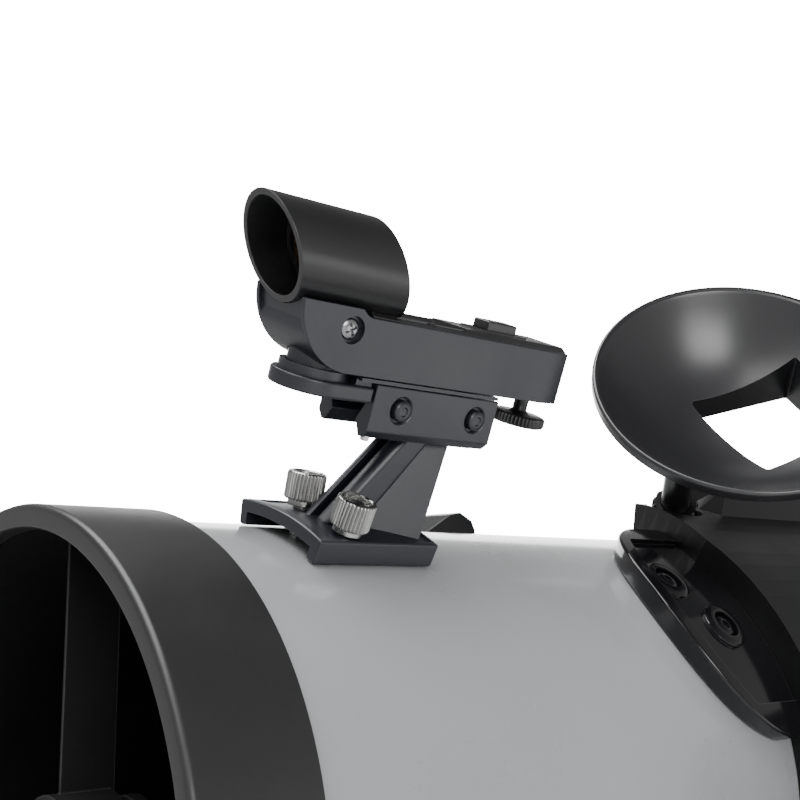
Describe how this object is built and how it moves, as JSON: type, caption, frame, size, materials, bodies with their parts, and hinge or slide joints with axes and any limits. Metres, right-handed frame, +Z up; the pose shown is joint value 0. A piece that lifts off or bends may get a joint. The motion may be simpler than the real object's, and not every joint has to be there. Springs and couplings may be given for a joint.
{
  "type": "newtonian reflector telescope",
  "caption": "Newtonian reflector telescope with a red-dot finder and a dished holder on its saddle, carried by a single-arm tabletop stand.",
  "frame": {"origin": "centre of the object's bounding box, on the surface it stands on", "axes": "+X along the tube from its open front towards the main mirror, +Y away from the arm towards the focuser side, +Z up"},
  "size_m": [0.566, 0.3396, 0.5156],
  "materials": {
    "tube_silver": "smooth silver-grey paint",
    "black_satin": "satin black moulding",
    "black_matt": "matt black paint",
    "black_gloss": "glossy black moulding",
    "charcoal": "charcoal moulding",
    "blue_black": "dark blue-grey moulding",
    "chrome": "bright plated metal",
    "silver": "bright turned metal",
    "mirror": "coated glass mirror",
    "rubber": "soft black rubber",
    "lens": "coated lens",
    "board": "black laminated board"
  },
  "bodies": {
    "ground_base": {"ground_board": "board", "foot_1": "rubber", "foot_2": "rubber", "foot_3": "rubber"},
    "turning_arm": {"turntable": "board", "arm": "black_satin"},
    "optical_tube": {"main_tube": "tube_silver", "front_ring": "charcoal", "rear_end_cell": "charcoal", "primary_mirror": "mirror", "primary_mirror_cell": "black_satin", "mirror_clip_1": "black_satin", "mirror_clip_2": "black_satin", "mirror_clip_3": "black_satin", "spider": "black_matt", "secondary_holder": "black_matt", "secondary_mirror": "mirror", "focuser_base": "black_satin", "accessory_shoe": "black_satin", "finder_bracket": "blue_black", "finder_stud_1": "silver", "finder_stud_2": "silver", "saddle_nose": "black_gloss", "saddle_screw_1": "black_gloss", "saddle_screw_2": "black_gloss", "cradle_shell": "black_satin", "altitude_axle": "silver"},
    "altitude_lock": {"altitude_knob": "black_satin"},
    "secondary_centre_bolt": {"secondary_bolt": "silver"},
    "secondary_tilt_screw_1": {"secondary_screw_1": "silver"},
    "secondary_tilt_screw_2": {"secondary_screw_2": "silver"},
    "secondary_tilt_screw_3": {"secondary_screw_3": "silver"},
    "collimation_1": {"collimation_knob_1": "black_satin"},
    "collimation_2": {"collimation_knob_2": "black_satin"},
    "collimation_3": {"collimation_knob_3": "black_satin"},
    "focus_pinion": {"pinion_shaft": "silver", "focus_knob_upper": "rubber", "focus_knob_lower": "rubber"},
    "drawtube": {"focuser_drawtube": "chrome", "eyepiece_adapter": "black_satin"},
    "eyepiece_clamp": {"adapter_thumb_screw": "silver"},
    "eyepiece": {"eyepiece_barrel": "chrome", "eyepiece_body": "black_satin", "eyepiece_eyecup": "rubber", "eye_lens": "lens"},
    "bracket_nut_1": {"finder_thumb_nut_1": "silver"},
    "bracket_nut_2": {"finder_thumb_nut_2": "silver"},
    "finder_shoe": {"finder_clamp_block": "blue_black"},
    "shoe_screw_1": {"finder_clamp_screw_1": "black_gloss"},
    "shoe_screw_2": {"finder_clamp_screw_2": "black_gloss"},
    "finder_swivel": {"finder_azimuth_plate": "blue_black"},
    "finder_head": {"finder_body": "blue_black", "finder_top_cover": "black_satin", "finder_window_tube": "black_satin", "finder_window_lens": "lens", "finder_side_screw": "chrome"},
    "altitude_wheel": {"finder_altitude_wheel": "black_satin"},
    "power_switch": {"finder_power_switch": "black_satin"},
    "dish": {"dished_holder": "black_satin"},
    "stem_lock": {"lock_collar": "black_gloss"}
  },
  "joints": [
    {"name": "azimuth_turn", "type": "hinge", "parent": "ground_base", "child": "turning_arm", "pos_m": [-0.003, -0.01284, 0.0245], "axis": [0, 0, 1], "continuous": true},
    {"name": "altitude_tilt", "type": "hinge", "parent": "turning_arm", "child": "optical_tube", "pos_m": [-0.003, -0.11284, 0.352], "axis": [0, 1, 0], "range_deg": [-5, 88]},
    {"name": "altitude_lock_turn", "type": "hinge", "parent": "optical_tube", "child": "altitude_lock", "pos_m": [-0.003, -0.15784, 0.352], "axis": [0, -1, 0], "range_deg": [-45, 720]},
    {"name": "secondary_centre_bolt_turn", "type": "hinge", "parent": "optical_tube", "child": "secondary_centre_bolt", "pos_m": [-0.275, -0.01284, 0.352], "axis": [-1, 0, 0], "range_deg": [-180, 720]},
    {"name": "secondary_screw_1_turn", "type": "hinge", "parent": "optical_tube", "child": "secondary_tilt_screw_1", "pos_m": [-0.275, -0.00556, 0.3562], "axis": [-1, 0, 0], "range_deg": [-360, 360]},
    {"name": "secondary_screw_2_turn", "type": "hinge", "parent": "optical_tube", "child": "secondary_tilt_screw_2", "pos_m": [-0.275, -0.01284, 0.3436], "axis": [-1, 0, 0], "range_deg": [-360, 360]},
    {"name": "secondary_screw_3_turn", "type": "hinge", "parent": "optical_tube", "child": "secondary_tilt_screw_3", "pos_m": [-0.275, -0.02012, 0.3562], "axis": [-1, 0, 0], "range_deg": [-360, 360]},
    {"name": "collimation_knob_1_turn", "type": "hinge", "parent": "optical_tube", "child": "collimation_1", "pos_m": [0.277, 0.00664, 0.40021], "axis": [1, 0, 0], "range_deg": [-360, 360]},
    {"name": "collimation_knob_2_turn", "type": "hinge", "parent": "optical_tube", "child": "collimation_2", "pos_m": [0.277, 0.01917, 0.31102], "axis": [1, 0, 0], "range_deg": [-360, 360]},
    {"name": "collimation_knob_3_turn", "type": "hinge", "parent": "optical_tube", "child": "collimation_3", "pos_m": [0.277, -0.06433, 0.34476], "axis": [1, 0, 0], "range_deg": [-360, 360]},
    {"name": "focus_knob_turn", "type": "hinge", "parent": "optical_tube", "child": "focus_pinion", "pos_m": [-0.1485, 0.08359, 0.39096], "axis": [0, 0.3746, -0.9272], "range_deg": [-100, 374]},
    {"name": "drawtube_travel", "type": "slide", "parent": "optical_tube", "child": "drawtube", "axis": [0, 0.9272, 0.3746], "range_m": [-0.008, 0.03]},
    {"name": "eyepiece_clamp_turn", "type": "hinge", "parent": "drawtube", "child": "eyepiece_clamp", "pos_m": [-0.178, 0.11131, 0.42912], "axis": [0, -0.3746, 0.9272], "range_deg": [-90, 720]},
    {"name": "eyepiece_pull", "type": "slide", "parent": "drawtube", "child": "eyepiece", "axis": [0, 0.9272, 0.3746], "range_m": [0, 0.035]},
    {"name": "bracket_nut_1_turn", "type": "hinge", "parent": "optical_tube", "child": "bracket_nut_1", "pos_m": [-0.2175, -0.05616, 0.43089], "axis": [0, -0.4813, 0.8766], "range_deg": [-45, 720]},
    {"name": "bracket_nut_2_turn", "type": "hinge", "parent": "optical_tube", "child": "bracket_nut_2", "pos_m": [-0.2175, -0.03678, 0.43876], "axis": [0, -0.2661, 0.964], "range_deg": [-45, 720]},
    {"name": "finder_shoe_slide", "type": "slide", "parent": "optical_tube", "child": "finder_shoe", "axis": [1, 0, 0], "range_m": [-0.008, 0.035]},
    {"name": "shoe_screw_1_turn", "type": "hinge", "parent": "finder_shoe", "child": "shoe_screw_1", "pos_m": [-0.2106, -0.06537, 0.45479], "axis": [0, -0.9265, -0.3762], "range_deg": [-45, 360]},
    {"name": "shoe_screw_2_turn", "type": "hinge", "parent": "finder_shoe", "child": "shoe_screw_2", "pos_m": [-0.1854, -0.06537, 0.45479], "axis": [0, -0.9265, -0.3762], "range_deg": [-45, 360]},
    {"name": "finder_azimuth_swivel", "type": "hinge", "parent": "finder_shoe", "child": "finder_swivel", "pos_m": [-0.232, -0.05874, 0.46504], "axis": [0, -0.3762, 0.9265], "range_deg": [-2, 2]},
    {"name": "finder_tilt", "type": "hinge", "parent": "finder_swivel", "child": "finder_head", "pos_m": [-0.232, -0.05912, 0.46596], "axis": [0, -0.9265, -0.3762], "range_deg": [0, 1.5]},
    {"name": "altitude_wheel_turn", "type": "hinge", "parent": "finder_head", "child": "altitude_wheel", "pos_m": [-0.1595, -0.05611, 0.45855], "axis": [0, -0.3762, 0.9265], "range_deg": [0, 1290]},
    {"name": "power_switch_slide", "type": "slide", "parent": "finder_head", "child": "power_switch", "axis": [1, 0, 0], "range_m": [-0.0017, 0.0017]},
    {"name": "dish_swivel", "type": "hinge", "parent": "optical_tube", "child": "dish", "pos_m": [-0.05097, -0.02783, 0.43244], "axis": [-0.5638, -0.5658, 0.6017], "range_deg": [-40, 110]},
    {"name": "stem_lock_turn", "type": "hinge", "parent": "optical_tube", "child": "stem_lock", "pos_m": [-0.05097, -0.02783, 0.43244], "axis": [-0.5638, -0.5658, 0.6017], "range_deg": [-45, 360]}
  ],
  "couplings": [
    {"joint": "focus_knob_turn", "follows": "drawtube_travel", "rad_per_m": 217.39},
    {"joint": "finder_tilt", "follows": "altitude_wheel_turn", "ratio": 0.00116}
  ]
}
